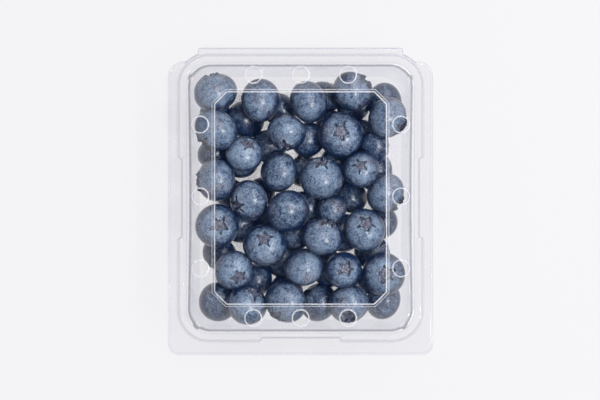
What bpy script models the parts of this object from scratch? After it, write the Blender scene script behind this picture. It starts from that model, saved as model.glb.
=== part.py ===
"""A punnet of blueberries: a clear hinged tray and lid, thermoformed from one sheet, and the berries in it.

Frame: metres, +Z up, origin under the middle of the closed pack, hinge on the +Y side, finger flange on -Y.
"""

import math
import random

import bmesh
import bpy
import numpy as np

MM = 0.001

# ---- the pack's outline, seen from above ----
FLANGE_HALF_X = 53.0 * MM
FLANGE_FRONT_Y = -61.4 * MM
FLANGE_BACK_Y = 56.2 * MM
FLANGE_FRONT_RADIUS = 4.5 * MM
FLANGE_BACK_RADIUS = 6.5 * MM
HINGE_Y = 61.4 * MM
HINGE_HALF_X = 41.0 * MM
HINGE_END_RADIUS = 1.0 * MM
HINGE_NOTCH = 0.9 * MM       # how far the cut edge stays clear of the bead between flange and hinge
POCKET_Y = 1.4 * MM          # middle of everything inside the flange
POCKET_LONGER = 8.4 * MM     # how much more each ring reaches along Y than along X

# ---- heights ----
SHEET = 0.5 * MM             # wall of the plastic
RIM_Z = 30.0 * MM            # top of the tray's flange
NEST_GAP = 0.3 * MM          # between tray and lid, all over
LID_DECK_Z = 37.0 * MM       # underside of the lid's flat deck
PANEL_RISE = 1.0 * MM        # the label panel stands this far above the deck

# ---- tray section, as half width and height ----
FLOOR_HALF_X = 39.4 * MM
FLOOR_BEND = 2.6 * MM        # height of the bend from floor to wall
FLOOR_BEND_OUT = 0.4 * MM    # its middle lies this far out from a straight slope
FLOOR_BEND_UP = 0.7 * MM     # and this far above the floor
MOUTH_HALF_X = 43.9 * MM
MOUTH_BEND = 1.0 * MM        # depth of the bend from wall to rim
MOUTH_FLARE = 0.6 * MM       # and its width
WALL_LEAN = 0.078            # outward lean of the side walls, as a slope
BEAD_FOOT_IN = 46.0 * MM
BEAD_TOP_IN = 46.9 * MM
BEAD_TOP_OUT = 47.9 * MM
BEAD_FOOT_OUT = 49.0 * MM
BEAD_HEIGHT = 1.9 * MM
BEAD_LID_EXTRA = 0.3 * MM    # the lid's bead is this much bigger all round, to nest over the tray's
THUMB_HALF = 15.3 * MM       # half length of the stretches where the bead is low and narrow
THUMB_STEP = 1.4 * MM        # length of the change from full bead to low bead
THUMB_HEIGHT = 0.3           # share of the bead's height that is left there
THUMB_TOP_IN = 0.4 * MM      # how far each edge of the bead moves in there
THUMB_TOP_OUT = 0.9 * MM
THUMB_FOOT_OUT = 1.6 * MM
CORNER_RADIUS = 12.5 * MM    # of the bead's outer foot; rings further in are tighter
CORNER_RADIUS_LEAST = 8.6 * MM
WALL_BOW = 0.5 * MM          # the long thin walls pull in between their corners

# ---- lid ----
DOME_FOOT_X = 44.7 * MM
DOME_TOP_X = 44.4 * MM
DECK_EDGE_X = 43.9 * MM
DECK_BEND = 0.6 * MM
PANEL_HALF_X = 35.0 * MM
PANEL_HALF_Y = 43.0 * MM
PANEL_CHAMFER = 5.6 * MM
PANEL_SLOPE = 1.2 * MM       # width of its sloping edge
PANEL_CHAMFER_LESS = 0.7 * MM   # the cut corners are this much smaller at the top of the slope
VENT_RADIUS = 3.3 * MM
VENT_MIDDLE_Y = 2.0 * MM
VENT_SIDE_X = 39.8 * MM
VENT_SIDE_PITCH = 28.5 * MM
VENT_END_Y = 48.2 * MM
VENT_END_PITCH = 18.8 * MM
VENT_SEGMENTS = 12
CORNER_SEGMENTS = 6
SHARP_ANGLE = math.radians(35)

# ---- berries ----
SEED = 0
BERRY_GAP = 0.3 * MM         # between berries and the plastic
BERRY_SQUEEZE = 0.25 * MM    # how far two touching berries flatten into each other
HEAP_TOP_Z = 31.5 * MM
SHOWN_START_Z = 21.0 * MM    # the berries start at these heights and settle from there
LOW_START_Z = 10.0 * MM
HIDDEN_START_Z = 8.0 * MM
HIDDEN_BERRY_RADIUS = (6.9 * MM, 8.2 * MM)
HIDDEN_TRIES = 4000
HIDDEN_SPACING = 0.84        # centre distance seen from above, as a share of the two radii
GAP_SPACING = 0.93           # and how much of its radius a hidden berry keeps from a light gap
GAP_KEEP = 0.86              # the same for every berry while the heap settles
SPREAD = 1.012               # the places below hold at rim height, and the berries lie a little further down
BOW_HALF_Y = 44.0 * MM       # half length of the bowed stretch of a wall
SHOWN_HOLD = 0.25            # how firmly the berries that show keep to their places
LOW_HOLD = 0.06
SETTLE_STEPS = 900
SETTLE_FALL = 0.05 * MM
PUSH_ROUNDS = 2
BERRY_PUSH = 0.3
GAP_PUSH = 0.5
CORE_TOP_Z = 22.0 * MM       # a solid core fills the hollows between berries
CORE_BOTTOM_Z = 4.0 * MM
CORE_INSET = 5.5 * MM
HEAP_VOXEL = 1.1 * MM
HEAP_FACES = 4200
# The berries that show, in rows from the hinge to the front: x, y and diameter in millimetres.
TOP_BERRIES = (
    (-34.6, 44.9, 16.4), (-16.0, 40.3, 16.4), (3.1, 39.8, 16.0), (20.8, 43.9, 15.8),
    (-33.0, 28.8, 17.0), (-5.5, 27.4, 14.8), (16.0, 26.6, 18.2), (37.4, 33.0, 15.5),
    (-22.9, 19.4, 14.8), (-8.7, 12.0, 16.0), (8.4, 9.3, 17.4), (24.8, 13.1, 14.5),
    (-34.6, 8.5, 16.4), (-21.0, 0.5, 15.4), (-5.0, -4.1, 16.6), (37.2, 3.2, 15.8),
    (-34.0, -9.6, 17.6), (-14.3, -17.4, 17.0), (8.4, -14.7, 15.8), (25.5, -11.3, 17.0),
    (-26.3, -28.1, 15.8), (1.7, -26.0, 15.9), (17.3, -27.7, 14.8), (34.9, -28.8, 17.6),
    (-21.5, -42.2, 15.8), (-5.9, -40.0, 16.4), (19.4, -42.4, 15.8),
)
# Berries half hidden under those.
LOW_BERRIES = (
    (10.4, 40.6, 13.0), (31.4, 39.8, 14.8), (-23.6, 33.8, 15.0), (27.0, 21.6, 12.4), (-36.0, 18.6, 13.0),
    (20.6, 1.8, 13.0), (11.6, -4.1, 12.4), (32.6, -9.6, 13.5), (-32.8, -21.4, 14.0), (29.6, -19.6, 14.0),
    (-17.4, -32.4, 14.6), (-33.4, -40.6, 16.0), (6.6, -40.0, 15.0), (31.6, -38.8, 14.8),
    (2.2, -3.6, 15.0), (-6.6, -24.4, 14.5), (2.6, 12.6, 13.5), (5.0, 26.2, 14.0), (17.8, -12.6, 15.0),
    (-14.6, 21.4, 14.5), (24.4, 27.2, 14.5), (-8.2, 37.0, 14.0), (12.6, 31.8, 13.0), (10.8, -28.6, 15.0),
    (23.6, -34.4, 12.5), (-10.6, -7.0, 13.5), (-24.0, -9.4, 14.5), (-27.4, 3.0, 13.0), (23.6, 36.0, 13.0),
    (-6.0, -34.0, 14.0), (-36.0, 36.6, 12.5), (-24.3, 18.0, 13.2), (-17.0, 3.0, 12.5), (-4.0, -14.2, 12.0),
)
# Hollows that go right down to the floor of the tray, so that light shows through: x and y in millimetres.
LIGHT_GAPS = (
    (-14.7, 29.6), (27.6, 31.9), (-1.4, 20.2), (7.0, 17.8), (-20.6, 10.2), (-3.2, 4.4), (26.8, 0.2),
    (-22.8, -18.6), (18.6, -20.4), (-13.6, -29.2),
)
# The same between the berries and the walls at the hinge and on the right.
WALL_GAPS = ((-25.0, 47.0), (-6.0, 48.0), (36.2, 15.4))


def clear_scene():
    for obj in list(bpy.data.objects):
        bpy.data.objects.remove(obj, do_unlink=True)


def plain_material(name, colour, roughness, alpha=1.0):
    material = bpy.data.materials.new(name)
    material.use_nodes = True
    shader = material.node_tree.nodes["Principled BSDF"]
    shader.inputs["Base Color"].default_value = (*colour, 1.0)
    shader.inputs["Roughness"].default_value = roughness
    shader.inputs["Metallic"].default_value = 0.0
    shader.inputs["Alpha"].default_value = alpha
    return material


def arc(centre, radius, start, end, segments):
    """Points along an arc in the XY plane, both ends included. Angles are in radians."""
    steps = np.linspace(start, end, segments + 1)
    return [(centre[0] + radius * math.cos(a), centre[1] + radius * math.sin(a)) for a in steps]


def corner_radius(half_x):
    """Rings keep one corner centre while they can, so an inner ring has a tighter corner."""
    return max(CORNER_RADIUS - (BEAD_FOOT_OUT - half_x), CORNER_RADIUS_LEAST)


def ring(half_x, z, bow=0.0, thumb=0.0, drop=0.0):
    """One closed rounded-rectangle loop, anticlockwise from the front right corner.

    bow pulls the middles of the long sides in. thumb and drop move the loop in and down along the stretches
    on the left, the right and the front where the bead is low and narrow."""
    half_y = half_x + POCKET_LONGER
    radius = corner_radius(half_x)
    inner_x, inner_y = half_x - radius, half_y - radius
    near, far = THUMB_HALF, THUMB_HALF + THUMB_STEP
    points = arc((inner_x, -inner_y), radius, -math.pi / 2, 0, CORNER_SEGMENTS)
    side = [(half_x, -far, 0), (half_x - thumb, -near, drop), (half_x - thumb, near, drop), (half_x, far, 0)]
    points += side
    points += arc((inner_x, inner_y), radius, 0, math.pi / 2, CORNER_SEGMENTS)
    points += [(x, half_y) for x in (inner_x / 3, -inner_x / 3)]
    points += arc((-inner_x, inner_y), radius, math.pi / 2, math.pi, CORNER_SEGMENTS)
    points += [(-x, -y, d) for x, y, d in side]
    points += arc((-inner_x, -inner_y), radius, math.pi, 1.5 * math.pi, CORNER_SEGMENTS)
    points += [(y, -x, d) for x, y, d in [(x + POCKET_LONGER, y, d) for x, y, d in side]]
    bowed = []
    for x, y, *lower in points:
        share = max(0.0, 1.0 - (y / inner_y) ** 2) if abs(y) < inner_y else 0.0
        bowed.append((x - math.copysign(bow * share, x), y + POCKET_Y, z - sum(lower)))
    return bowed


def flange_outline(z):
    """The cut edge of the flange: rounded front, set-back side flanges and the hinge strip at the back."""
    front_x = FLANGE_HALF_X - FLANGE_FRONT_RADIUS
    front_y = FLANGE_FRONT_Y + FLANGE_FRONT_RADIUS
    back = (FLANGE_HALF_X - FLANGE_BACK_RADIUS, FLANGE_BACK_Y - FLANGE_BACK_RADIUS)
    bead_centre = (BEAD_FOOT_OUT - CORNER_RADIUS, POCKET_Y + BEAD_FOOT_OUT + POCKET_LONGER - CORNER_RADIUS)
    bead_radius = CORNER_RADIUS + HINGE_NOTCH
    leave = math.asin((FLANGE_BACK_Y - bead_centre[1]) / bead_radius)
    meet = math.acos((HINGE_HALF_X - bead_centre[0]) / bead_radius)
    hinge = (HINGE_HALF_X - HINGE_END_RADIUS, HINGE_Y - HINGE_END_RADIUS)
    right = arc((front_x, front_y), FLANGE_FRONT_RADIUS, -math.pi / 2, 0, CORNER_SEGMENTS)
    right += arc(back, FLANGE_BACK_RADIUS, 0, math.pi / 2, CORNER_SEGMENTS)
    right += arc(bead_centre, bead_radius, leave, meet, 3)
    right += arc(hinge, HINGE_END_RADIUS, 0, math.pi / 2, 3)
    left = [(-x, y) for x, y in reversed(right)]
    return [(x, y, z) for x, y in right + left]


def panel_loop(half_x, half_y, chamfer, z):
    """The label panel's outline, a rectangle with cut corners."""
    corner = [(half_x - chamfer, half_y), (half_x, half_y - chamfer)]
    signs = ((1, 1, corner[::-1]), (-1, 1, corner), (-1, -1, corner[::-1]), (1, -1, corner))
    return [(sx * x, POCKET_Y + sy * y, z) for sx, sy, pair in signs for x, y in pair]


def vent_centres():
    """Three vents along each side of the panel."""
    places = []
    for step in (-1, 0, 1):
        for side in (-1, 1):
            places.append((side * VENT_SIDE_X, VENT_MIDDLE_Y + step * VENT_SIDE_PITCH))
            places.append((step * VENT_END_PITCH, VENT_MIDDLE_Y + side * VENT_END_Y))
    return places


def add_loop(bm, points):
    """Adds a closed loop of edges and returns its vertices."""
    verts = [bm.verts.new(p) for p in points]
    for a, b in zip(verts, verts[1:] + verts[:1]):
        bm.edges.new((a, b))
    return verts


def loop_edges(verts):
    return [e for v in verts for e in v.link_edges if e.other_vert(v) in verts]


def skin(bm, loops):
    """Quads between each pair of neighbouring loops of equal length."""
    for low, high in zip(loops, loops[1:]):
        count = len(low)
        for i in range(count):
            j = (i + 1) % count
            bm.faces.new((low[i], low[j], high[j], high[i]))


def flat_fill(bm, *loops):
    """Fills the flat region between one outer loop and any holes in it."""
    edges = {e for verts in loops for e in loop_edges(verts)}
    bmesh.ops.triangle_fill(bm, edges=list(edges), use_beauty=True, use_dissolve=False)


def sheet_object(name, bm, material, thickness_up):
    """Turns one open surface into plastic of SHEET thickness, grown up or down from it."""
    bmesh.ops.recalc_face_normals(bm, faces=bm.faces)
    flange = max(bm.faces, key=lambda f: f.calc_center_median().y)
    if flange.normal.z < 0:
        bmesh.ops.reverse_faces(bm, faces=bm.faces)
    mesh = bpy.data.meshes.new(name)
    bm.to_mesh(mesh)
    bm.free()
    mesh.shade_smooth()
    mesh.set_sharp_from_angle(angle=SHARP_ANGLE)
    obj = bpy.data.objects.new(name, mesh)
    bpy.context.scene.collection.objects.link(obj)
    obj.data.materials.append(material)
    solid = obj.modifiers.new("sheet", "SOLIDIFY")
    solid.thickness = SHEET
    solid.offset = 1.0 if thickness_up else -1.0
    solid.use_even_offset = True
    return obj


def bead_section(base, grow):
    """The bead's four edges, from its inner foot outward. grow makes it bigger all round."""
    height = BEAD_HEIGHT + grow
    drop = (1 - THUMB_HEIGHT) * height
    return (
        (BEAD_FOOT_IN - grow, base),
        (BEAD_TOP_IN - grow, base + height, 0, THUMB_TOP_IN, drop),
        (BEAD_TOP_OUT + grow, base + height, 0, THUMB_TOP_OUT, drop),
        (BEAD_FOOT_OUT + grow, base, 0, THUMB_FOOT_OUT),
    )


def make_tray(material):
    """The tray's upper surface: floor, walls, mouth, bead and flange."""
    bm = bmesh.new()
    wall_foot_x = MOUTH_HALF_X - WALL_LEAN * (RIM_Z - FLOOR_BEND)
    section = (
        (FLOOR_HALF_X, SHEET),
        ((FLOOR_HALF_X + wall_foot_x) / 2 + FLOOR_BEND_OUT, SHEET + FLOOR_BEND_UP),
        (wall_foot_x, SHEET + FLOOR_BEND),
        (MOUTH_HALF_X, RIM_Z - MOUTH_BEND, WALL_BOW),
        (MOUTH_HALF_X + MOUTH_FLARE, RIM_Z, WALL_BOW),
        *bead_section(RIM_Z, 0.0),
    )
    loops = [add_loop(bm, ring(*line)) for line in section]
    skin(bm, loops)
    bm.faces.new(loops[0])
    flat_fill(bm, loops[-1], add_loop(bm, flange_outline(RIM_Z)))
    return sheet_object("tray", bm, material, thickness_up=False)


def make_lid(material):
    """The lid's lower surface: flange, bead, dome, vented deck and raised label panel."""
    bm = bmesh.new()
    base = RIM_Z + NEST_GAP
    section = (
        (DECK_EDGE_X, LID_DECK_Z),
        (DOME_TOP_X, LID_DECK_Z - DECK_BEND),
        (DOME_FOOT_X, base),
        *bead_section(base, BEAD_LID_EXTRA),
    )
    loops = [add_loop(bm, ring(*line)) for line in section]
    skin(bm, loops)
    flat_fill(bm, loops[-1], add_loop(bm, flange_outline(base)))
    foot = add_loop(bm, panel_loop(PANEL_HALF_X, PANEL_HALF_Y, PANEL_CHAMFER, LID_DECK_Z))
    slope = PANEL_SLOPE
    top = add_loop(bm, panel_loop(PANEL_HALF_X - slope, PANEL_HALF_Y - slope,
                                  PANEL_CHAMFER - PANEL_CHAMFER_LESS, LID_DECK_Z + PANEL_RISE))
    skin(bm, [foot, top])
    bm.faces.new(top)
    vents = []
    for x, y in vent_centres():
        circle = arc((x, y), VENT_RADIUS, 0, 2 * math.pi, VENT_SEGMENTS)[:-1]
        vents.append(add_loop(bm, [(a, b, LID_DECK_Z) for a, b in circle]))
    flat_fill(bm, loops[0], foot, *vents)
    return sheet_object("lid", bm, material, thickness_up=True)


def wall_reach(y, z, radius):
    """How far from the middle a berry's centre can lie at place y and height z, along X and along Y."""
    half_x = MOUTH_HALF_X - WALL_LEAN * (RIM_Z - z) - radius - BERRY_GAP
    bow = WALL_BOW * np.maximum(0.0, 1.0 - ((y - POCKET_Y) / BOW_HALF_Y) ** 2)
    return half_x - bow, half_x + POCKET_LONGER


def settle_berries():
    """Lets the berries drop and push apart until they rest. Returns centres and radii in metres."""
    rng = random.Random(SEED)
    shown = np.array(TOP_BERRIES + LOW_BERRIES) * MM * (SPREAD, SPREAD, 1)
    tops = len(TOP_BERRIES)
    centres = [(x, y, SHOWN_START_Z if i < tops else LOW_START_Z) for i, (x, y, _) in enumerate(shown)]
    radii = [d / 2 for d in shown[:, 2]]
    low = [(x, y, d / 2) for x, y, d in shown[tops:]]
    gaps = np.array(LIGHT_GAPS + WALL_GAPS) * MM
    for _ in range(HIDDEN_TRIES):
        radius = rng.uniform(*HIDDEN_BERRY_RADIUS)
        reach_x, reach_y = wall_reach(0, radius, radius)
        x, y = rng.uniform(-reach_x, reach_x), POCKET_Y + rng.uniform(-reach_y, reach_y)
        clear_of_berries = all(math.hypot(x - a, y - b) > HIDDEN_SPACING * (radius + r) for a, b, r in low)
        if clear_of_berries and all(math.hypot(x - a, y - b) > GAP_SPACING * radius for a, b in gaps):
            low.append((x, y, radius))
            centres.append((x, y, HIDDEN_START_Z))
            radii.append(radius)
    place, radii = np.array(centres), np.array(radii)
    home = place[:, :2].copy()
    hold = np.zeros((len(radii), 1))
    hold[:tops] = SHOWN_HOLD
    hold[tops:len(shown)] = LOW_HOLD
    touch = radii[:, None] + radii[None] - BERRY_SQUEEZE
    itself = np.eye(len(radii))
    for _ in range(SETTLE_STEPS):
        place[:, 2] -= SETTLE_FALL
        for _ in range(PUSH_ROUNDS):
            apart = place[:, None] - place[None]
            distance = np.sqrt((apart ** 2).sum(2)) + itself
            overlap = np.maximum(touch - distance, 0.0)
            place += BERRY_PUSH * (apart * (overlap / distance)[..., None]).sum(1)
            for gap in gaps:
                away = place[:, :2] - gap
                far = np.sqrt((away ** 2).sum(1))
                place[:, :2] += away * (GAP_PUSH * np.maximum(GAP_KEEP * radii - far, 0.0) / far)[:, None]
            place[:, :2] += (home - place[:, :2]) * hold
            place[:, 2] = np.clip(place[:, 2], radii + SHEET + BERRY_GAP, HEAP_TOP_Z - radii)
            reach_x, reach_y = wall_reach(place[:, 1], place[:, 2], radii)
            place[:, 0] = np.clip(place[:, 0], -reach_x, reach_x)
            place[:, 1] = np.clip(place[:, 1], POCKET_Y - reach_y, POCKET_Y + reach_y)
    return place, radii


def make_berries(material):
    """The heap as one body: every berry, merged with a core that fills the hollows between them."""
    place, radii = settle_berries()
    print("berries", len(radii), "litres of fruit", round(float((4 / 3 * math.pi * radii ** 3).sum()) * 1000, 3))
    bm = bmesh.new()
    for centre, radius in zip(place, radii):
        made = bmesh.ops.create_icosphere(bm, subdivisions=2, radius=radius)
        bmesh.ops.translate(bm, verts=made["verts"], vec=centre)
    low = ring(FLOOR_HALF_X - CORE_INSET, CORE_BOTTOM_Z)
    high = ring(FLOOR_HALF_X - CORE_INSET, CORE_TOP_Z)
    loops = [add_loop(bm, low), add_loop(bm, high)]
    skin(bm, loops)
    bm.faces.new(loops[0])
    bm.faces.new(loops[1])
    bmesh.ops.recalc_face_normals(bm, faces=bm.faces)
    mesh = bpy.data.meshes.new("berries")
    bm.to_mesh(mesh)
    bm.free()
    obj = bpy.data.objects.new("berries", mesh)
    bpy.context.scene.collection.objects.link(obj)
    obj.data.materials.append(material)
    merge = obj.modifiers.new("merge", "REMESH")
    merge.mode = "VOXEL"
    merge.voxel_size = HEAP_VOXEL
    merge.use_smooth_shade = True
    bpy.context.view_layer.update()
    full = len(obj.evaluated_get(bpy.context.evaluated_depsgraph_get()).data.polygons) * 2
    thin = obj.modifiers.new("thin", "DECIMATE")
    thin.ratio = HEAP_FACES / full
    return obj


def main():
    clear_scene()
    clear_plastic = (0.86, 0.87, 0.89)
    make_tray(plain_material("clear_tray", clear_plastic, 0.08, alpha=0.35))
    make_lid(plain_material("clear_lid", clear_plastic, 0.08, alpha=0.30))
    make_berries(plain_material("blueberry_skin", (0.08, 0.115, 0.18), 0.45))


main()
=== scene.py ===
# %% [markdown]
# # A punnet of blueberries
#
# The object is a clear hinged punnet, thermoformed from one sheet of PET, with about sixty loose
# blueberries in it. This lesson dresses the plain solid model: it builds a finer tray and lid with real
# bends, a film for the hinge, and every berry with its own crown, and gives each a material that is worked
# out from how the real thing is made.

# %% Load the solid model
import math
import random

import bmesh
import bpy
import numpy as np
from mathutils import Matrix, Vector


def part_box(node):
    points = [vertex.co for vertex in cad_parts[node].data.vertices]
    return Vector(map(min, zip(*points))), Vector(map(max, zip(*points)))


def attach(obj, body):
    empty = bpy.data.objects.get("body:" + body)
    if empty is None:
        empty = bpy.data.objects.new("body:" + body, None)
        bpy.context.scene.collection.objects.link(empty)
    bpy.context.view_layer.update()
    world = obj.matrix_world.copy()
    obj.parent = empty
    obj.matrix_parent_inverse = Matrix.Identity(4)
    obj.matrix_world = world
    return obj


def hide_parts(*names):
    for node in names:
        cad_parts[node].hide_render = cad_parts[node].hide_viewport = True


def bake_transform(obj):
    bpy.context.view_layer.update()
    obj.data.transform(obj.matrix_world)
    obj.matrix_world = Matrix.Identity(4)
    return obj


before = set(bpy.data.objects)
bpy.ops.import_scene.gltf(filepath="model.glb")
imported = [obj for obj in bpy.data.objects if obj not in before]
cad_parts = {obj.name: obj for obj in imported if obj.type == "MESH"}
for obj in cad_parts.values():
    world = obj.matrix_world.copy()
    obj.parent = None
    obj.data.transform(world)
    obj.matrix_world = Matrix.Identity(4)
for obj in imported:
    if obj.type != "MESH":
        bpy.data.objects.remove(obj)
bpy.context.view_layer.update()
MM = 0.001

# %% [markdown]
# ## Camera
#
# The view is straight down, as from a camera that hangs over a packing bench. A long lens 0.8 m above the rim
# keeps the walls nearly upright in view. It could be an orthographic camera, but a real lens lets the near lid
# look a little larger than the far floor, which shows how deep the punnet is.

# %% Camera
NEST_GAP = 0.3 * MM          # the lid's flange lies this far above the tray's
LENS_MM, SENSOR_MM = 120.0, 36.0
CAMERA_ABOVE_RIM = 0.80
CAMERA_OFF_CENTRE = (-0.2 * MM, 0.6 * MM)
rim_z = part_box("lid")[0].z - NEST_GAP

camera = bpy.data.objects.new("bench_camera", bpy.data.cameras.new("bench_camera"))
camera.data.sensor_width = SENSOR_MM
camera.data.lens = LENS_MM
camera.data.clip_start = 0.01
camera.location = (*CAMERA_OFF_CENTRE, rim_z + CAMERA_ABOVE_RIM)
bpy.context.scene.collection.objects.link(camera)
bpy.context.scene.camera = camera
print("camera", round(camera.location.z, 3), "m above the table")

# %% [markdown]
# ## Colours and nodes
#
# Colours are picked as sRGB hex, the way a paint or ink is noted down, and Blender wants them linear, so
# one function turns one into the other. Node trees are built in code, and one small function adds a node,
# gives it its own settings and fills or links its sockets.

# %% Two helpers for materials
def hex_colour(code):
    """An sRGB hex code as a linear colour with alpha 1."""
    parts = [int(code[i:i + 2], 16) / 255 for i in (0, 2, 4)]
    return (*[c / 12.92 if c <= 0.04045 else ((c + 0.055) / 1.055) ** 2.4 for c in parts], 1.0)


def add_node(tree, kind, inputs=(), **settings):
    """Adds one node. settings are the node's own, and inputs gives each socket a value or a link."""
    made = tree.nodes.new("ShaderNode" + kind)
    for name, value in settings.items():
        setattr(made, name, value)
    for socket, value in dict(inputs).items():
        if isinstance(value, bpy.types.NodeSocket):
            tree.links.new(value, made.inputs[socket])
        else:
            made.inputs[socket].default_value = value
    return made


def new_material(name):
    """An empty node material, its tree and its output node."""
    material = bpy.data.materials.new(name)
    material.use_nodes = True
    material.node_tree.nodes.clear()
    return material, material.node_tree, add_node(material.node_tree, "OutputMaterial")


print("hex 8899aa is", [round(c, 3) for c in hex_colour("8899aa")])

# %% [markdown]
# ## Table and light
#
# The punnet stands on a white opal table lit from below, as product tables are, so the gaps between the
# berries show white and the shadow stays faint. A soft lamp stands to the right and a little to the front
# and gives each berry its small soft highlight. A larger, window-like one at the back right throws the
# pack's faint shadow to the front left. The room's light comes from a wide soft patch overhead and little
# from the sides, so a berry darkens towards its rim. A small dark hood round the lens keeps the flat lid
# from mirroring white over the berries.

# %% Opal table, soft lamp, white room
TABLE_GLOW = 0.80
ROOM_OVERHEAD = 0.62
ROOM_SIDES = 0.07
PATCH_COS = (0.40, 0.88)     # the patch overhead starts 66 degrees from straight up and is full at 28
HOOD_COS = 0.985             # the hood covers what lies within about 10 degrees of straight up
HOOD_EDGE = 0.006            # its soft edge, also as a cosine
HOOD_LIGHT = 0.02            # matt black velvet still gives back about this share
PUNNET_MIDDLE = Vector((0, 0, 0.02))    # the lamps point here, in metres
SOFT_LAMPS = {               # place in metres, size in metres and power in watts
    "soft_lamp": (Vector((0.46, -0.16, 0.92)), 0.17, 7.0),
    "back_window": (Vector((0.32, 0.42, 0.85)), 0.60, 6.0),
}

scene = bpy.context.scene
scene.view_settings.view_transform = "Standard"
scene.cycles.transparent_max_bounces = 48    # a ray can pass many faces of clear sheet before the table
scene.cycles.max_bounces = 14
scene.cycles.caustics_reflective = False
scene.cycles.caustics_refractive = False

room = bpy.data.worlds.new("white_room")
room.use_nodes = True
tree = room.node_tree
upward = add_node(tree, "SeparateXYZ", {0: add_node(tree, "TexCoord").outputs["Generated"]}).outputs["Z"]
overhead = add_node(tree, "MapRange", {"Value": upward, "From Min": PATCH_COS[0], "From Max": PATCH_COS[1],
                                       "To Min": ROOM_SIDES, "To Max": ROOM_OVERHEAD},
                    interpolation_type="SMOOTHSTEP")
hood = add_node(tree, "MapRange", {"Value": upward, "From Min": HOOD_COS, "From Max": HOOD_COS + HOOD_EDGE,
                                   "To Min": 1.0, "To Max": HOOD_LIGHT})
light = add_node(tree, "Math", {0: overhead.outputs[0], 1: hood.outputs[0]}, operation="MULTIPLY")
backdrop = tree.nodes["Background"]
backdrop.inputs["Color"].default_value = hex_colour("f0f6ff")
tree.links.new(light.outputs[0], backdrop.inputs["Strength"])
scene.world = room

for name, (place, size, power) in SOFT_LAMPS.items():
    lamp_data = bpy.data.lights.new(name, "AREA")
    lamp_data.shape = "SQUARE"
    lamp_data.size = size
    lamp_data.energy = power
    lamp = bpy.data.objects.new(name, lamp_data)
    lamp.location = place
    lamp.rotation_euler = (PUNNET_MIDDLE - place).to_track_quat("-Z", "Y").to_euler()
    scene.collection.objects.link(lamp)

# Opal acrylic is matt and spreads the light from below evenly
table_top, tree, out = new_material("opal_table_top")
matte = add_node(tree, "BsdfDiffuse", {"Color": hex_colour("5a5a5b")})
glow = add_node(tree, "Emission", {"Color": hex_colour("fcfbfd"), "Strength": TABLE_GLOW})
both = add_node(tree, "AddShader", {0: matte.outputs[0], 1: glow.outputs[0]})
tree.links.new(both.outputs[0], out.inputs["Surface"])

TABLE_HALF = 3.0
table_mesh = bpy.data.meshes.new("opal_table")
table_mesh.from_pydata([(x, y, 0) for x, y in ((-TABLE_HALF, -TABLE_HALF), (TABLE_HALF, -TABLE_HALF),
                                               (TABLE_HALF, TABLE_HALF), (-TABLE_HALF, TABLE_HALF))],
                       [], [(0, 1, 2, 3)])
table = bpy.data.objects.new("opal_table", table_mesh)
table.data.materials.append(table_top)
scene.collection.objects.link(table)
for name, (place, _, _) in SOFT_LAMPS.items():
    print(name, round(math.degrees(math.atan2(place.z, math.hypot(place.x, place.y)))), "degrees up")

# %% [markdown]
# ## Clear PET sheet
#
# Thermoformed PET is clear and glossy. Flat sheet shows only a faint veil, from fine scuffs and from the
# trace of blue toner that keeps clear PET from looking yellow, and a reflection that grows as it turns edge
# on. Where it stands nearly upright, one looks along it, through more plastic, so it turns grey. A full
# glass shader would do this by refraction, at the cost of noise, so a clear pass-through layer is mixed
# with gloss by the angle at which one looks at it. PET's IOR is about 1.57, which mirrors 5 per cent face
# on. Two faces of each sheet do so here, and the hood is what they mirror, so less is enough. Moulding
# leaves the sheet slightly wavy, which a slow noise bump gives to the reflections. Bends catch the light as
# pale and grey lines, which refraction would give, and here these lines are painted, so each kind of bend
# has its own look: the bright bends get a pale matte haze as painted reflection, the soft bends a greyer
# tint as painted shade, and the dome's wall is greyed edge on into a painted dark line.

# %% Thermoformed PET, flat and in its bends
WAVE_MM = 14.0               # waves left by the mould, in the sheet's gloss
WAVE_STRENGTH, WAVE_DEPTH = 0.25, 0.6 * MM
SCUFF_MM = 0.9               # scuffs are finer on the real sheet and are drawn coarse enough to show
SCUFF_NOISE = (0.35, 0.75)   # where the noise makes the sheet clearest and most scuffed
SCUFF_SHARE = (0.7, 1.4)     # and how much of its usual haze it has there
SLANT_POWER = 5.0            # reflection grows with this power of the slant, as in Schlick's formula


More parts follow.
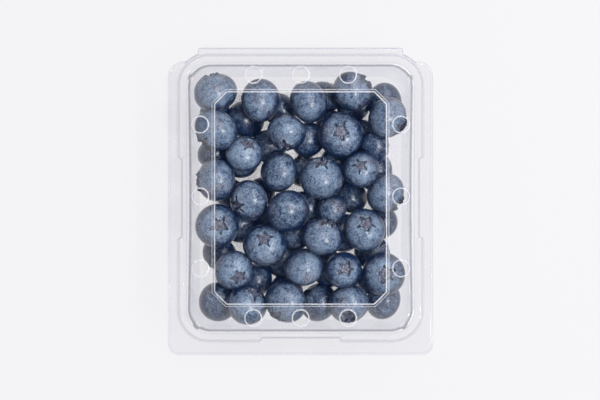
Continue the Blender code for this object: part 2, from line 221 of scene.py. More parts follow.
def clear_pet(name, face_on, edge_on, haze, haze_colour, gloss=0.010, edge_gloss=0.22, roughness=0.07):
    """Clear thermoformed PET.

    face_on and edge_on are the colours it lets through, haze is the share it scatters, and gloss and
    edge_gloss are the shares it mirrors face on and edge on."""
    material, tree, out = new_material(name)
    place = add_node(tree, "TexCoord").outputs["Object"]
    waves = add_node(tree, "TexNoise", {"Vector": place, "Scale": 1000 / WAVE_MM, "Detail": 1.0})
    wavy = add_node(tree, "Bump", {"Height": waves.outputs[0], "Strength": WAVE_STRENGTH,
                                    "Distance": WAVE_DEPTH})
    turned = add_node(tree, "LayerWeight", {"Blend": 0.5}).outputs["Facing"]
    grazing = add_node(tree, "Math", {0: turned, 1: SLANT_POWER}, operation="POWER")
    tint = add_node(tree, "MixRGB", {"Fac": grazing.outputs[0], "Color1": hex_colour(face_on),
                                     "Color2": hex_colour(edge_on)})
    through = add_node(tree, "BsdfTransparent", {"Color": tint.outputs[0]})
    scuffs = add_node(tree, "TexNoise", {"Vector": place, "Scale": 1000 / SCUFF_MM, "Detail": 4.0})
    veil = add_node(tree, "MapRange", {"Value": scuffs.outputs[0],
                                       "From Min": SCUFF_NOISE[0], "From Max": SCUFF_NOISE[1],
                                       "To Min": SCUFF_SHARE[0] * haze, "To Max": SCUFF_SHARE[1] * haze})
    pale = add_node(tree, "BsdfDiffuse", {"Color": hex_colour(haze_colour)})
    hazy = add_node(tree, "MixShader", {0: veil.outputs[0], 1: through.outputs[0], 2: pale.outputs[0]})
    shine = add_node(tree, "BsdfGlossy", {"Color": hex_colour("ffffff"), "Roughness": roughness,
                                          "Normal": wavy.outputs[0]})
    share = add_node(tree, "MapRange", {"Value": grazing.outputs[0], "To Min": gloss, "To Max": edge_gloss})
    sheet = add_node(tree, "MixShader", {0: share.outputs[0], 1: hazy.outputs[0], 2: shine.outputs[0]})
    tree.links.new(sheet.outputs[0], out.inputs["Surface"])
    return material


def pet_slots(part):
    """The looks of one thermoformed part, in the order of the slot numbers below."""
    return [
        clear_pet(part + "_pet_sheet", "fefefe", "f0f0f3", 0.007, "6a8ed8"),
        clear_pet(part + "_pet_tall_wall", "fcfcfd", "eeeef1", 0.004, "f4f4f6", edge_gloss=0.08),
        # painted shade: soft bends get a greyer tint, a grey line in place of what refraction would give
        clear_pet(part + "_pet_painted_soft_bend_line", "f0f0f3", "dcdce1", 0.03, "e8e8ec", edge_gloss=0.12),
        clear_pet(part + "_pet_edge_line", "f8f8fa", "f0f0f3", 0.02, "e8e8ec", edge_gloss=0.05),
        # painted reflection: a pale matte haze on the panel's bends and the vents' lips, for the light they
        # would mirror
        clear_pet(part + "_pet_painted_glint_bend", "f4f4f6", "ececef", 0.37, "f8f8fb", edge_gloss=0.05,
                  roughness=0.25),
        # painted reflection: a paler matte haze along the foot of the dome
        clear_pet(part + "_pet_painted_glint_foot", "f8f8fa", "ececef", 0.50, "fdfdff", edge_gloss=0.06,
                  roughness=0.25),
        # painted shade: edge on, the dome's wall turns dark grey, a dark line in place of what refraction would
        # give
        clear_pet(part + "_pet_dome_wall_shade", "f4f4f6", "aeaeb4", 0.02, "d8d8dc", edge_gloss=0.06),
        clear_pet(part + "_pet_scuffed_deck", "fcfcfd", "f0f0f3", 0.042, "dfe2ea", edge_gloss=0.12),
        clear_pet(part + "_pet_cut_edge", "f4f4f6", "e8e8ec", 0.20, "f4f4f8", edge_gloss=0.05,
                  roughness=0.25),
    ]


(SHEET_LOOK, TALL_WALL, PAINTED_SOFT_BEND_LINE, EDGE_LINE, PAINTED_GLINT_BEND, PAINTED_GLINT_FOOT, DOME_WALL_SHADE, SCUFFED_DECK,
 CUT_EDGE) = range(9)
print("nine looks of one sheet, from flat and clear to scuffed deck, bright bend and cut edge")

# %% [markdown]
# ## The sheet's shape
#
# Tray and lid are both rings of one rounded rectangle, stacked from a section: floor, wall, rim, bead,
# flange. The corners of the section are rounded to small bends, because a bend is what catches the light in
# clear plastic. The snap bead is high and wide round the corners and the hinge side, and low and narrow
# along the middle of the other three sides, where a finger gets in. So each ring blends between a full
# section and a low one.

# %% Rings, sections and sheets
SHEET = 0.4 * MM
POCKET_Y = 1.4 * MM            # the pocket for the fruit lies this far behind the middle
POCKET_LONGER = 8.4 * MM       # half of how much longer than wide each ring is
BEAD_FOOT_OUT = 49.0 * MM
CORNER_RADIUS = 12.5 * MM
CORNER_RADIUS_LEAST = 8.6 * MM
CORNER_STEPS = 16
LUG_OUT = 0.55 * MM            # small bumps at the corners that keep stacked lids from jamming
LUG_SPAN = math.radians(9)
LUG_FRONT = math.radians(52)   # the lugs lie this far round each corner from the long side
LUG_BACK = math.radians(25)
THUMB_HALF = 15.3 * MM         # half of the low, narrow stretch of the bead where a finger gets in
THUMB_STEP = 1.4 * MM          # and the length over which it steps down
STEP_POINTS = 5
BACK_POINTS = 8                # points along the straight back edge of a ring


def arc(centre, radius, start, end, steps):
    """Points along an arc, both ends included."""
    return [(centre[0] + radius * math.cos(a), centre[1] + radius * math.sin(a))
            for a in np.linspace(start, end, steps + 1)]


def rounded(corners, steps=3, closed=False):
    """Rounds the corners of a section or outline. Each corner is (u, v, bend radius)."""
    points = []
    count = len(corners)
    for i, (u, v, radius) in enumerate(corners):
        if not closed and i in (0, count - 1):
            points.append((u, v, False))
            continue
        here = Vector((u, v))
        before = (Vector(corners[i - 1][:2]) - here).normalized()
        after = (Vector(corners[(i + 1) % count][:2]) - here).normalized()
        turn = math.pi - before.angle(after)
        reach = radius * math.tan(turn / 2)
        for k in range(steps + 1):
            t = k / steps
            p = here + before * reach * (1 - t) ** 2 + after * reach * t ** 2
            points.append((p.x, p.y, k < steps))
    return points


def ring(full, low=None, bow=0.0, lug=0.0):
    """One closed rounded rectangle. full and low are (half width, height) of the full and the low bead.

    bow pulls the long sides in at their middles, and lug is how far each corner's nesting lug stands out."""
    low = low or full
    half_x, z = full
    half_y = half_x + POCKET_LONGER
    radius = max(CORNER_RADIUS - (BEAD_FOOT_OUT - half_x), CORNER_RADIUS_LEAST)
    inner_x, inner_y = half_x - radius, half_y - radius
    steps = np.linspace(0, 1, STEP_POINTS)
    lowness = list(steps * steps * (3 - 2 * steps))
    run = [THUMB_HALF + THUMB_STEP * (1 - s) for s in steps]
    along = [-y for y in run] + [-THUMB_HALF / 2, 0, THUMB_HALF / 2] + run[::-1]
    shares = lowness + [1, 1, 1] + lowness[::-1]
    side = [(half_x + s * (low[0] - half_x), y, s) for y, s in zip(along, shares)]

    def corner(x, y, start, lug_at):
        """A quarter round with its lug at lug_at, an angle in radians."""
        for a in np.linspace(start, start + math.pi / 2, CORNER_STEPS + 1):
            out = radius + lug * max(0.0, 1.0 - ((a - lug_at) / LUG_SPAN) ** 4)
            yield x + out * math.cos(a), y + out * math.sin(a), 0

    points = list(corner(inner_x, -inner_y, -math.pi / 2, -LUG_FRONT))
    points += side
    points += corner(inner_x, inner_y, 0, LUG_BACK)
    points += [(x, half_y, 0) for x in np.linspace(inner_x, -inner_x, BACK_POINTS)[1:-1]]
    points += corner(-inner_x, inner_y, math.pi / 2, math.pi - LUG_BACK)
    points += [(-x, -y, s) for x, y, s in side]
    points += corner(-inner_x, -inner_y, math.pi, math.pi + LUG_FRONT)
    points += [(y, -x - POCKET_LONGER, s) for x, y, s in side]
    placed = []
    for x, y, share in points:
        middle = max(0.0, 1.0 - (y / inner_y) ** 2) if abs(y) < inner_y else 0.0
        placed.append((x - math.copysign(bow * middle, x), y + POCKET_Y, z + share * (low[1] - z)))
    return placed


def add_loop(bm, points):
    """Adds a closed loop of edges and returns its vertices."""
    verts = [bm.verts.new(p) for p in points]
    for a, b in zip(verts, verts[1:] + verts[:1]):
        bm.edges.new((a, b))
    return verts


def skin(bm, loops, looks):
    """Quads between neighbouring loops of equal length; looks names the material slot of each strip."""
    for low, high, look in zip(loops, loops[1:], looks):
        count = len(low)
        for i in range(count):
            j = (i + 1) % count
            bm.faces.new((low[i], low[j], high[j], high[i])).material_index = look


def flat_fill(bm, look, *loops):
    """Fills the flat region between one outer loop and any holes in it. look is its material slot."""
    edges = [e for verts in loops for v in verts for e in v.link_edges if e.other_vert(v) in verts]
    for made in bmesh.ops.triangle_fill(bm, edges=list(set(edges)), use_beauty=True)["geom"]:
        if isinstance(made, bmesh.types.BMFace):
            made.material_index = look


def add_object(name, mesh, body):
    """Links a mesh as a piece and lets it ride on a body."""
    obj = bpy.data.objects.new(name, mesh)
    scene.collection.objects.link(obj)
    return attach(obj, body)


def sheet_piece(name, bm, body, materials, grow_up):
    """Turns an open surface into plastic of SHEET thickness with clean normals and cut edges."""
    bmesh.ops.recalc_face_normals(bm, faces=bm.faces)
    if max(bm.faces, key=lambda f: f.calc_center_median().y).normal.z < 0:
        bmesh.ops.reverse_faces(bm, faces=bm.faces)
    mesh = bpy.data.meshes.new(name)
    bm.to_mesh(mesh)
    bm.free()
    mesh.shade_smooth()
    obj = add_object(name, mesh, body)
    for material in materials:
        mesh.materials.append(material)
    solid = obj.modifiers.new("sheet", "SOLIDIFY")
    solid.thickness = SHEET
    solid.offset = 1.0 if grow_up else -1.0
    solid.material_offset_rim = CUT_EDGE
    flat = obj.modifiers.new("flat_faces", "WEIGHTED_NORMAL")
    flat.weight = 100
    return obj


def flange_outline(z, inset=0.0, lip=0.0):
    """The flange's edge: rounded front, sides, necks and hinge strip.

    inset narrows its front and sides, and lip narrows all of it."""
    inset += lip
    front = (flange_half_x - FLANGE_FRONT_RADIUS, flange_front_y + FLANGE_FRONT_RADIUS)
    back = (flange_half_x - FLANGE_BACK_RADIUS, FLANGE_BACK_Y - FLANGE_BACK_RADIUS)
    bead = (BEAD_FOOT_OUT - CORNER_RADIUS, POCKET_Y + BEAD_FOOT_OUT + POCKET_LONGER - CORNER_RADIUS)
    neck = CORNER_RADIUS + HINGE_NOTCH - lip
    leave = math.asin((FLANGE_BACK_Y - inset - bead[1]) / neck)
    meet = math.acos((HINGE_HALF_X - lip - bead[0]) / neck)
    hinge = (HINGE_HALF_X - HINGE_RADIUS, hinge_y - HINGE_RADIUS)
    right = arc(front, FLANGE_FRONT_RADIUS - inset, -math.pi / 2, 0, WIDE_STEPS)
    right += arc(back, FLANGE_BACK_RADIUS - inset, 0, math.pi / 2, WIDE_STEPS)
    right += arc(bead, neck, leave, meet, TIGHT_STEPS)
    right += arc(hinge, HINGE_RADIUS - lip, 0, math.pi / 2, TIGHT_STEPS)
    return [(x, y, z) for x, y in right + [(-x, y) for x, y in reversed(right)]]


def flange(bm, bead_foot, z, inset, turn):
    """Fills the flange from the bead's foot out to its cut edge, which is turned a little up or down."""
    inner = add_loop(bm, flange_outline(z, inset, EDGE_LIP))
    edge = add_loop(bm, flange_outline(z + turn, inset))
    skin(bm, (inner, edge), [EDGE_LINE])
    flat_fill(bm, SHEET_LOOK, bead_foot, inner)


EDGE_LIP = 0.40 * MM         # the cut edge is turned over this width
EDGE_TURN = 0.15 * MM        # by this height
HINGE_RADIUS = 1.0 * MM
FLANGE_FRONT_RADIUS = 4.5 * MM
FLANGE_BACK_RADIUS = 6.5 * MM
FLANGE_BACK_Y = 56.2 * MM
HINGE_HALF_X = 41.0 * MM
HINGE_NOTCH = 0.9 * MM
WIDE_STEPS, TIGHT_STEPS = 8, 4    # steps along the flange's wide and tight arcs
tray_low, tray_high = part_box("tray")
flange_half_x, flange_front_y, hinge_y = tray_high.x, tray_low.y, tray_high.y
print("flange", round(flange_half_x * 2000, 1), "mm wide, hinge edge at", round(hinge_y * 1000, 1), "mm")

# %% [markdown]
# ## Tray
#
# The tray is drawn deep from the sheet, so its walls lean outward to let it off the mould, and its floor
# has a wide bend. The long walls are thin and pull in a little between the corners.

# %% Tray
FLOOR_FILL = 36.4 * MM       # half the width of the floor's flat middle
FLOOR_CORNER, FLOOR_BEND = 41.3 * MM, 3.2 * MM    # where floor and wall would meet, and the bend between them
MOUTH_HALF_X = 43.9 * MM
MOUTH_DROP, MOUTH_BEND = 0.6 * MM, 1.2 * MM       # the wall turns out this far under the rim
SHELF_OUT, SHELF_BEND = 0.7 * MM, 0.4 * MM        # the narrow shelf between mouth and bead
WALL_LEAN = 0.078            # how far out the walls go for each unit of height
WALL_BOW = 0.5 * MM
BOW_FROM_Z, BOW_FULL_OVER = 2.6 * MM, 12 * MM     # the bow starts at this height and is full this much above it
BEND = 0.30 * MM
BEAD_HEIGHT = 1.9 * MM
LOW_BEAD = 0.3               # height of the low bead as a share of the full one
BEAD_HALVES = (46.0 * MM, 46.9 * MM, 47.9 * MM, BEAD_FOOT_OUT)    # inner foot and top, outer top and foot
LOW_BEAD_IN = (0.0, 0.4 * MM, 0.9 * MM, 1.6 * MM)                 # how far these move in where it is low
FLANGE_START = 50.0 * MM     # a point on the flange, which gives the last bend its direction


def bead_corners(base, grow, low):
    """The bead's four bends as section corners, from its inner foot outward.

    grow makes it wider and higher, and low gives the finger stretches."""
    height = (BEAD_HEIGHT + grow) * (LOW_BEAD if low else 1.0)
    return [(half + side * grow - (move_in if low else 0.0), base + rise * height, BEND)
            for half, side, move_in, rise in zip(BEAD_HALVES, (-1, -1, 1, 1), LOW_BEAD_IN, (0, 1, 1, 0))]


def stack_rings(bm, low_part, base, grow, bend_looks, wall_looks, bows, lugs):
    """Rounds the section, makes its rings and skins them. Returns the rings.

    bend_looks has a look for each bend, and wall_looks one for each stretch between two bends. bows and lugs
    give a ring's bow and lug from its half width and height."""
    end = [(FLANGE_START + grow, base, 0)]
    full = rounded(low_part + bead_corners(base, grow, False) + end)[:-1]
    low = rounded(low_part + bead_corners(base, grow, True) + end)[:-1]
    looks = []
    stretch = 0
    for _, _, bending in full:
        looks.append(bend_looks[stretch - 1] if bending else wall_looks[stretch])
        stretch += 0 if bending else 1
    loops = []
    for (a, b, _), (c, d, _) in zip(full, low):
        loops.append(add_loop(bm, ring((a, b), (c, d), bows(a, b), lugs(a, b))))
    skin(bm, loops, looks)
    return loops


def mouth_bow(half, z):
    """The bow fades out towards the stiff bead and towards the floor."""
    towards_bead = max(0.0, (BEAD_HALVES[0] - half) / MM)
    towards_floor = max(0.0, (z - BOW_FROM_Z) / BOW_FULL_OVER)
    return WALL_BOW * min(1.0, towards_bead, towards_floor)


bm = bmesh.new()
tray_section = [
    (FLOOR_FILL, SHEET, 0),
    (FLOOR_CORNER, SHEET, FLOOR_BEND),
    (MOUTH_HALF_X, rim_z - MOUTH_DROP, MOUTH_BEND),
    (MOUTH_HALF_X + SHELF_OUT, rim_z, SHELF_BEND),
]
tray_rings = stack_rings(
    bm, tray_section, rim_z, 0.0,
    (SHEET_LOOK, TALL_WALL, PAINTED_SOFT_BEND_LINE, SHEET_LOOK, SHEET_LOOK, SHEET_LOOK, PAINTED_SOFT_BEND_LINE),
    (SHEET_LOOK, TALL_WALL, SHEET_LOOK, SHEET_LOOK, SHEET_LOOK, SHEET_LOOK, SHEET_LOOK, SHEET_LOOK),
    mouth_bow, lambda half, z: 0.0,
)
bm.faces.new(tray_rings[0])
flange(bm, tray_rings[-1], rim_z, 0.0, -EDGE_TURN)
tray = sheet_piece("punnet_tray", bm, "base", pet_slots("tray"), grow_up=False)
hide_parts("tray")
print("tray", len(tray.data.polygons), "faces before its thickness")

# %% [markdown]
# ## Lid
#
# The lid is shallow: its bead snaps over the tray's, then a low dome, then a flat deck with a raised panel
# where a label goes, with cut corners, and twelve punched vents whose edges stand up in a small lip. Where
# a face turns, the sheet catches the light in a pale line, so these strips have a look of their own, which
# paints that line: a pale matte haze on the panel's bends and the vents' lips and a paler one on the dome's
# foot as painted reflection, and a dark grey on the dome's wall as painted shade. So does the deck round the
# panel, which the tray above rubs in the stack, so it is scuffed and veils the berries a little.

# %% Lid
lid_low, lid_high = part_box("lid")
PANEL_RISE = 1.0 * MM
PANEL_BELOW_TOP = 0.5 * MM   # the panel's underside lies this far under the solid lid's top
deck_z = lid_high.z - PANEL_BELOW_TOP - PANEL_RISE
PANEL_HALF = (35.0 * MM, 43.0 * MM)
PANEL_CHAMFER = 5.4 * MM
PANEL_SLOPE = 1.0 * MM
PANEL_START, PANEL_END = -0.6 * MM, 2.4 * MM      # its rings go from outside its foot to this far inside
VENT_RADIUS = 3.3 * MM
VENT_LIP = 0.22 * MM
VENT_STEPS = 40
# The lip from the deck inward: how far out from the vent's edge, and its height as a share of VENT_LIP
VENT_LIP_SECTION = ((0.16 * MM, 0.0), (0.05 * MM, 0.7), (-0.06 * MM, 1.0), (-0.14 * MM, 0.8))
VENT_MIDDLE_Y = 2.0 * MM
VENT_SIDE_X, VENT_SIDE_PITCH = 39.8 * MM, 28.5 * MM
VENT_END_Y, VENT_END_PITCH = 48.2 * MM, 18.8 * MM
PANEL_CORNER_BEND = 0.8 * MM
PANEL_FOLD_BEND = 0.5 * MM
DECK_START, DECK_EDGE, DOME_FOOT = 42.8 * MM, 43.75 * MM, 44.65 * MM
DECK_BEND, FOOT_BEND = 0.35 * MM, 0.45 * MM
LUGS_WITHIN = 44.9 * MM      # only the dome's rings have nesting lugs, not the bead's
LID_GROW = 0.3 * MM          # the lid's bead is this much wider and higher, so it snaps over the tray's
LID_FLANGE_INSET = 0.7 * MM


def panel_loop(inset, z):
    """The label panel's outline at some distance inside its foot."""
    half_x, half_y = PANEL_HALF[0] - inset, PANEL_HALF[1] - inset
    cut = PANEL_CHAMFER - inset * (2 - math.sqrt(2))
    corners = []
    for sx, sy, first in ((1, 1, 0), (-1, 1, 1), (-1, -1, 0), (1, -1, 1)):
        pair = [(sx * half_x, sy * (half_y - cut), PANEL_CORNER_BEND),
                (sx * (half_x - cut), sy * half_y, PANEL_CORNER_BEND)]
        corners += pair[::-1] if first else pair
    return [(x, y + POCKET_Y, z) for x, y, _ in rounded(corners, steps=4, closed=True)]


def vent_centres():
    """Three vents along each side of the panel."""
    for step in (-1, 0, 1):
        for side in (-1, 1):
            yield side * VENT_SIDE_X, VENT_MIDDLE_Y + step * VENT_SIDE_PITCH
            yield step * VENT_END_PITCH, VENT_MIDDLE_Y + side * VENT_END_Y


bm = bmesh.new()
lid_base = rim_z + NEST_GAP
lid_section = [
    (DECK_START, deck_z, 0),
    (DECK_EDGE, deck_z, DECK_BEND),
    (DOME_FOOT, lid_base, FOOT_BEND),
]
lid_rings = stack_rings(
    bm, lid_section, lid_base, LID_GROW,
    (PAINTED_SOFT_BEND_LINE, PAINTED_GLINT_FOOT, PAINTED_SOFT_BEND_LINE, SHEET_LOOK, PAINTED_SOFT_BEND_LINE, PAINTED_SOFT_BEND_LINE),
    (SHEET_LOOK, DOME_WALL_SHADE, SHEET_LOOK, SHEET_LOOK, SHEET_LOOK, SHEET_LOOK, SHEET_LOOK),
    mouth_bow, lambda half, z: LUG_OUT if half < LUGS_WITHIN else 0.0,
)
flange(bm, lid_rings[-1], lid_base, LID_FLANGE_INSET, EDGE_TURN)
panel_z = deck_z + PANEL_RISE
panel_section = rounded([(PANEL_START, deck_z, 0), (0, deck_z, PANEL_FOLD_BEND),
                         (PANEL_SLOPE, panel_z, PANEL_FOLD_BEND), (PANEL_END, panel_z, 0)])
panel_rings = [add_loop(bm, panel_loop(inset, z)) for inset, z, _ in panel_section]
skin(bm, panel_rings, [PAINTED_GLINT_BEND if bending else SHEET_LOOK for _, _, bending in panel_section])
bm.faces.new(panel_rings[-1])
vent_rims = []
for x, y in vent_centres():
    lip_rings = []
    for out, share in VENT_LIP_SECTION:
        circle = arc((x, y), VENT_RADIUS + out, 0, 2 * math.pi, VENT_STEPS)[:-1]
        lip_rings.append(add_loop(bm, [(a, b, deck_z + share * VENT_LIP) for a, b in circle]))
    skin(bm, lip_rings, [PAINTED_GLINT_BEND] * 3)
    vent_rims.append(lip_rings[0])
flat_fill(bm, SCUFFED_DECK, lid_rings[0], panel_rings[0], *vent_rims)
lid = sheet_piece("punnet_lid", bm, "lid", pet_slots("lid"), grow_up=True)
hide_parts("lid")
print("lid", len(lid.data.polygons), "faces before its thickness,", len(vent_rims), "vents")

# %% [markdown]
# ## Hinge film
#
# Tray and lid are one sheet that folds at the back. The fold is a short curved film from the tray's flange
# to the lid's; the real one bends as the lid opens, and here it is built as it lies closed.

# %% Hinge film
FOLD_REACH = 0.35 * MM
FOLD_STEPS = 8
FOLD_ACROSS = 17             # points across the film
FOLD_TUCK = 0.5 * MM         # how far it tucks in between the flanges
FOLD_SHORTER = 1.5 * MM      # at each end, where the hinge strip's corners are round
FOLD_SHEET = 0.25 * MM       # the crease is thinner than the sheet
bm = bmesh.new()
fold_low, fold_high = rim_z - SHEET / 2, lid_base + SHEET / 2
fold_middle = (fold_low + fold_high) / 2
fold_radius = (fold_high - fold_low) / 2
rows = []
for angle in np.linspace(-math.pi / 2, math.pi / 2, FOLD_STEPS + 1):
    y = hinge_y - FOLD_TUCK + (FOLD_REACH + FOLD_TUCK) * math.cos(angle)
    z = fold_middle + fold_radius * math.sin(angle)
    along = np.linspace(-1, 1, FOLD_ACROSS) * (HINGE_HALF_X - FOLD_SHORTER)
    rows.append([bm.verts.new((x, y, z)) for x in along])
for low, high in zip(rows, rows[1:]):
    for i in range(len(low) - 1):
        bm.faces.new((low[i], low[i + 1], high[i + 1], high[i]))
film_mesh = bpy.data.meshes.new("hinge_film")
bm.to_mesh(film_mesh)
bm.free()
film_mesh.shade_smooth()
film = bpy.data.objects.new("hinge_film", film_mesh)
scene.collection.objects.link(film)
film_mesh.materials.append(clear_pet("hinge_pet_fold", "fefefe", "f6f6f8", 0.01, "f4f4f6", edge_gloss=0.03))
film_solid = film.modifiers.new("sheet", "SOLIDIFY")
film_solid.thickness = FOLD_SHEET
film_solid.offset = 0.0
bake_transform(film)
print("hinge film reaches", round(FOLD_REACH * 1000, 2), "mm behind the flanges")

# %% [markdown]
# ## How the berries lie
#
# The berries were poured in and settled: a top layer that shows, others half hidden under it, and more
# below. Rigid body simulation could drop them, but the berries that show have known places, so a short
# relaxation is used: each berry sinks a little, pushes its neighbours apart and stays inside the walls. It
# is the same settling as the solid heap's, so the berries lie where the solid is. Each berry that shows
# also has the way its crown points: its lean from upright and its bearing, anticlockwise from the right, in
# degrees.

# %% Berry places
SEED = 0
BERRY_GAP = 0.3 * MM
BERRY_SQUEEZE = 0.25 * MM
HEAP_TOP_Z = 31.5 * MM
HIDDEN_BERRY_RADIUS = (6.9 * MM, 8.2 * MM)
SOLID_SHEET = 0.5 * MM
SHOWN_START_Z = 21.0 * MM    # the berries start at these heights and settle from there
LOW_START_Z = 10.0 * MM
HIDDEN_START_Z = 8.0 * MM
HIDDEN_TRIES = 4000
HIDDEN_SPACING = 0.84        # centre distance seen from above, as a share of the two radii
GAP_SPACING = 0.93           # and how much of its radius a hidden berry keeps from a hollow at the start
GAP_KEEP = 0.86              # the same for every berry while the heap settles
SPREAD = 1.012               # places were noted as seen at the rim, and the berries lie a little further down
BOW_HALF_Y = 44.0 * MM
SHOWN_HOLD = 0.25            # how firmly the berries that show keep to their places
LOW_HOLD = 0.06
SETTLE_STEPS = 900
SETTLE_FALL = 0.05 * MM
PUSH_ROUNDS = 2
BERRY_PUSH = 0.3
GAP_PUSH = 0.5

# x, y and diameter in millimetres, lean and bearing of the crown in degrees, how far its lobes stand up
TOP_BERRIES = (
    (-34.6, 44.9, 16.4, 84, 105, 0.2), (-16.0, 40.3, 16.4, 115, 175, 0.3),
    (3.1, 39.8, 16.0, 105, 200, 0.3), (20.8, 43.9, 15.8, 74, 35, 1.0),
    (-33.0, 28.8, 17.0, 74, 232, 0.8), (-5.5, 27.4, 14.8, 62, 268, 0.6),
    (16.0, 26.6, 18.2, 9, 90, 0.25), (37.4, 33.0, 15.5, 72, -32, 0.9),
    (-22.9, 19.4, 14.8, 42, 70, 0.3), (-8.7, 12.0, 16.0, 112, -20, 0.4),
    (8.4, 9.3, 17.4, 56, 92, 0.2), (24.8, 13.1, 14.5, 18, 112, 0.25),
    (-34.6, 8.5, 16.4, 82, 184, 0.8), (-21.0, 0.5, 15.4, 48, 204, 0.3),
    (-5.0, -4.1, 16.6, 122, 130, 0.3), (37.2, 3.2, 15.8, 76, -38, 1.0),
    (-34.0, -9.6, 17.6, 10, 0, 0.2), (-14.3, -17.4, 17.0, 24, 92, 0.2),
    (8.4, -14.7, 15.8, 72, 70, 0.9), (25.5, -11.3, 17.0, 22, 78, 0.35),
    (-26.3, -28.1, 15.8, 30, -52, 0.3), (1.7, -26.0, 15.9, 118, -60, 0.3),
    (17.3, -27.7, 14.8, 12, 45, 0.3), (34.9, -28.8, 17.6, 5, 0, 0.25),
    (-21.5, -42.2, 15.8, 60, 60, 0.3), (-5.9, -40.0, 16.4, 62, 232, 0.4),
    (19.4, -42.4, 15.8, 44, -88, 0.7),
)
LOW_BERRIES = (
    (10.4, 40.6, 13.0), (31.4, 39.8, 14.8), (-23.6, 33.8, 15.0), (27.0, 21.6, 12.4),
    (-36.0, 18.6, 13.0), (20.6, 1.8, 13.0), (11.6, -4.1, 12.4), (32.6, -9.6, 13.5),
    (-32.8, -21.4, 14.0), (29.6, -19.6, 14.0), (-17.4, -32.4, 14.6), (-33.4, -40.6, 16.0),
    (6.6, -40.0, 15.0), (31.6, -38.8, 14.8), (2.2, -3.6, 15.0), (-6.6, -24.4, 14.5),
    (2.6, 12.6, 13.5), (5.0, 26.2, 14.0), (17.8, -12.6, 15.0), (-14.6, 21.4, 14.5),
    (24.4, 27.2, 14.5), (-8.2, 37.0, 14.0), (12.6, 31.8, 13.0), (10.8, -28.6, 15.0),
    (23.6, -34.4, 12.5), (-10.6, -7.0, 13.5), (-24.0, -9.4, 14.5), (-27.4, 3.0, 13.0),
    (23.6, 36.0, 13.0), (-6.0, -34.0, 14.0), (-36.0, 36.6, 12.5), (-24.3, 18.0, 13.2),
    (-17.0, 3.0, 12.5), (-4.0, -14.2, 12.0),
)
# Hollows that go right down to the table, so that it shows white between the berries
LIGHT_GAPS = (
    (-14.7, 29.6), (27.6, 31.9), (-1.4, 20.2), (7.0, 17.8), (-20.6, 10.2),
    (-3.2, 4.4), (26.8, 0.2), (-22.8, -18.6), (18.6, -20.4), (-13.6, -29.2),
)
# On the berries that show their star, one arm points this way, in degrees anticlockwise from the right
CROWN_ARMS = {6: -10, 11: 40, 16: -16, 17: 15, 19: -14, 20: 42, 22: -2, 23: 30}
# The tray stays open here too, between the berries and its back and right walls
WALL_GAPS = ((-25.0, 47.0), (-6.0, 48.0), (36.2, 15.4))


def wall_reach(y, z, radius):
    """How far from the middle a berry's centre can lie at height z, along X and along Y."""
    half_x = MOUTH_HALF_X - WALL_LEAN * (rim_z - z) - radius - BERRY_GAP
    bow = WALL_BOW * np.maximum(0.0, 1.0 - ((y - POCKET_Y) / BOW_HALF_Y) ** 2)
    return half_x - bow, half_x + POCKET_LONGER


def settle_berries():
    """Lets the berries sink and push apart until they rest. Returns centres and radii in metres."""
    rng = random.Random(SEED)
    tops = len(TOP_BERRIES)
    shown = np.array([berry[:3] for berry in TOP_BERRIES + LOW_BERRIES]) * MM * (SPREAD, SPREAD, 1)
    centres = [(x, y, SHOWN_START_Z if i < tops else LOW_START_Z) for i, (x, y, _) in enumerate(shown)]
    radii = [d / 2 for d in shown[:, 2]]
    low = [(x, y, d / 2) for x, y, d in shown[tops:]]
    gaps = np.array(LIGHT_GAPS + WALL_GAPS) * MM
    for _ in range(HIDDEN_TRIES):
        radius = rng.uniform(*HIDDEN_BERRY_RADIUS)
        reach_x, reach_y = wall_reach(0, radius, radius)
        x, y = rng.uniform(-reach_x, reach_x), POCKET_Y + rng.uniform(-reach_y, reach_y)
        clear_of_berries = all(math.hypot(x - a, y - b) > HIDDEN_SPACING * (radius + r) for a, b, r in low)
        if clear_of_berries and all(math.hypot(x - a, y - b) > GAP_SPACING * radius for a, b in gaps):
            low.append((x, y, radius))
            centres.append((x, y, HIDDEN_START_Z))
            radii.append(radius)
    place, radii = np.array(centres), np.array(radii)
    home = place[:, :2].copy()
    hold = np.zeros((len(radii), 1))
    hold[:tops] = SHOWN_HOLD
    hold[tops:len(shown)] = LOW_HOLD
    touch = radii[:, None] + radii[None] - BERRY_SQUEEZE
    itself = np.eye(len(radii))
    for _ in range(SETTLE_STEPS):
        place[:, 2] -= SETTLE_FALL
        for _ in range(PUSH_ROUNDS):
            apart = place[:, None] - place[None]
            distance = np.sqrt((apart ** 2).sum(2)) + itself
            overlap = np.maximum(touch - distance, 0.0)
            place += BERRY_PUSH * (apart * (overlap / distance)[..., None]).sum(1)
            for gap in gaps:
                away = place[:, :2] - gap
                far = np.sqrt((away ** 2).sum(1))
                place[:, :2] += away * (GAP_PUSH * np.maximum(GAP_KEEP * radii - far, 0.0) / far)[:, None]
            place[:, :2] += (home - place[:, :2]) * hold
            place[:, 2] = np.clip(place[:, 2], radii + SOLID_SHEET + BERRY_GAP, HEAP_TOP_Z - radii)
            reach_x, reach_y = wall_reach(place[:, 1], place[:, 2], radii)
            place[:, 0] = np.clip(place[:, 0], -reach_x, reach_x)
            place[:, 1] = np.clip(place[:, 1], POCKET_Y - reach_y, POCKET_Y + reach_y)
    return place, radii, home


berry_place, berry_radius, berry_home = settle_berries()
moved = np.sqrt(((berry_place[:, :2] - berry_home) ** 2).sum(1)) / MM
top_heights = berry_place[:len(TOP_BERRIES), 2] / MM
print(len(berry_radius), "berries; top ones moved", moved[:len(TOP_BERRIES)].round(1).max(),
      "mm at most; heights", top_heights.round(0).min(), "to", top_heights.round(0).max())

